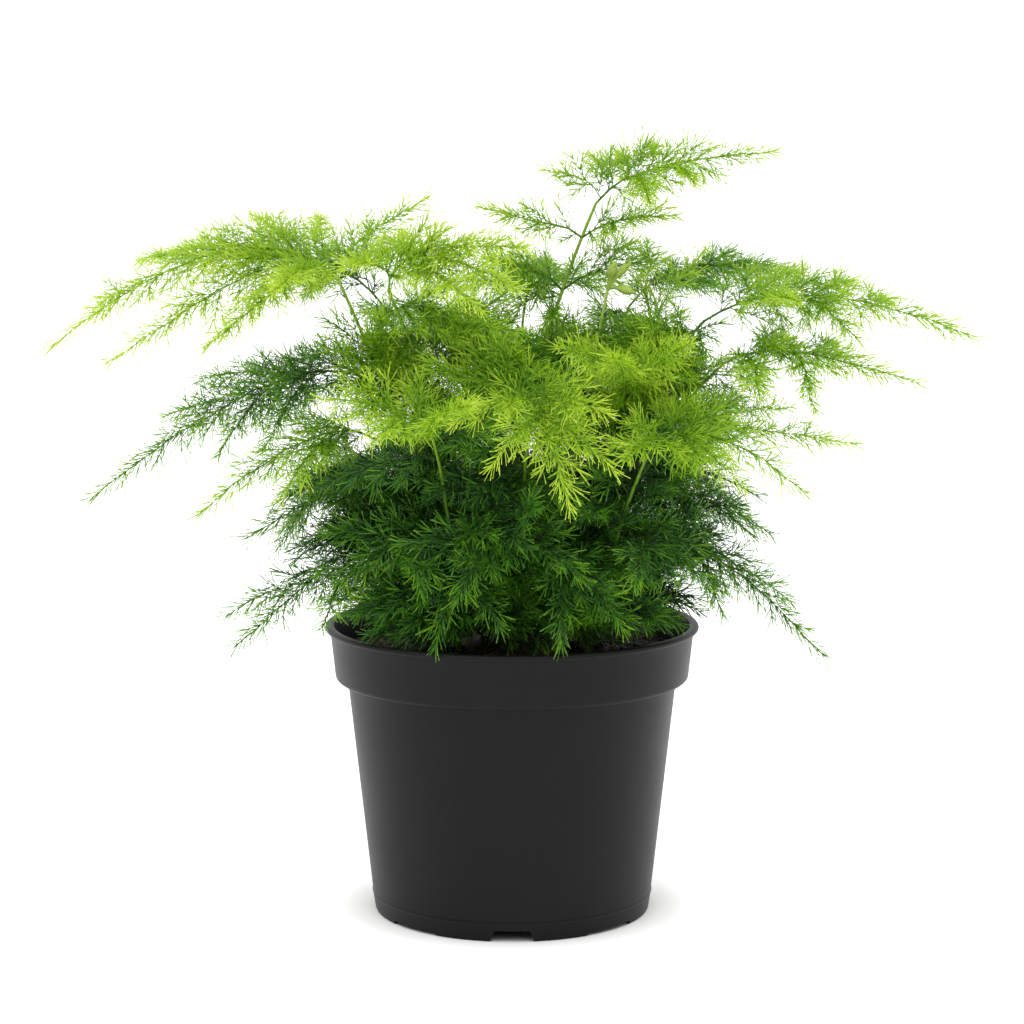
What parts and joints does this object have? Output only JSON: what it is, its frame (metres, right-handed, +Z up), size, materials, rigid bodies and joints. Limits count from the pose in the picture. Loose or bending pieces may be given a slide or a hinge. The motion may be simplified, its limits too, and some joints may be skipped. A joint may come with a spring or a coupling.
{
  "type": "potted asparagus fern",
  "caption": "Feathery asparagus fern in a round plastic nursery pot: wiry stems with arching needle-leaved sprays, rootstock and potting mix.",
  "frame": {"origin": "on the ground under the middle of the pot, the centre of the foot ring", "axes": "+Z up along the pot's axis; the plant's front, the side its nearest young sprays lean over, looks along -Y; +X to the right seen from the front"},
  "size_m": [0.3077, 0.1954, 0.2664],
  "materials": {
    "pot_plastic": "satin",
    "potting_mix": "matte",
    "root": "matte",
    "stem_old": "satin",
    "stem_young": "satin",
    "new_shoot": "satin",
    "foliage_dark": "matte",
    "foliage_mid": "matte",
    "foliage_lime": "matte"
  },
  "bodies": {
    "root": {"pot": "pot_plastic", "potting_mix": "potting_mix", "rootstock": "root", "stem_high_left": "stem_young", "stem_high_middle": "stem_young", "stem_crest": "stem_young", "stem_high_right": "stem_young", "stem_mid_right": "stem_young", "stem_lime_right": "stem_young", "stem_lime_left": "stem_young", "stem_left": "stem_young", "stem_left_lower": "stem_old", "stem_front": "stem_young", "stem_inner": "stem_old", "stem_low_left": "stem_old", "stem_low_right": "stem_old", "stem_low_front": "stem_old", "stem_low_front_left": "stem_old", "stem_back_left": "stem_young", "stem_back": "stem_young", "stem_back_right": "stem_young", "stem_low_back_left": "stem_old", "stem_low_back_right": "stem_old", "stem_low_back": "stem_old", "stem_new_shoot": "new_shoot", "frond_high_left": "foliage_lime", "frond_high_middle": "foliage_lime", "frond_crest_top": "foliage_mid", "frond_crest_left_upper": "foliage_lime", "frond_crest_right_upper": "foliage_mid", "frond_crest_left_lower": "foliage_mid", "frond_crest_right_lower": "foliage_mid", "frond_high_right": "foliage_mid", "frond_high_right_upturned": "foliage_mid", "frond_high_right_front": "foliage_lime", "frond_mid_right": "foliage_mid", "frond_lime_right": "foliage_lime", "frond_lime_left": "foliage_lime", "frond_left": "foliage_dark", "frond_left_lower": "foliage_mid", "frond_front": "foliage_lime", "frond_inner_left": "foliage_dark", "frond_inner_right": "foliage_dark", "frond_inner_front": "foliage_dark", "frond_inner_front_left": "foliage_dark", "frond_inner_front_right": "foliage_dark", "frond_low_left": "foliage_dark", "frond_low_left_upper": "foliage_dark", "frond_low_right": "foliage_dark", "frond_low_right_upper": "foliage_dark", "frond_low_front": "foliage_dark", "frond_low_front_right": "foliage_dark", "frond_low_front_left": "foliage_dark", "frond_low_side_left": "foliage_dark", "frond_back_left": "foliage_mid", "frond_back": "foliage_mid", "frond_back_right": "foliage_mid", "frond_low_back_left": "foliage_dark", "frond_low_back_right": "foliage_dark", "frond_low_back": "foliage_dark"}
  },
  "joints": []
}
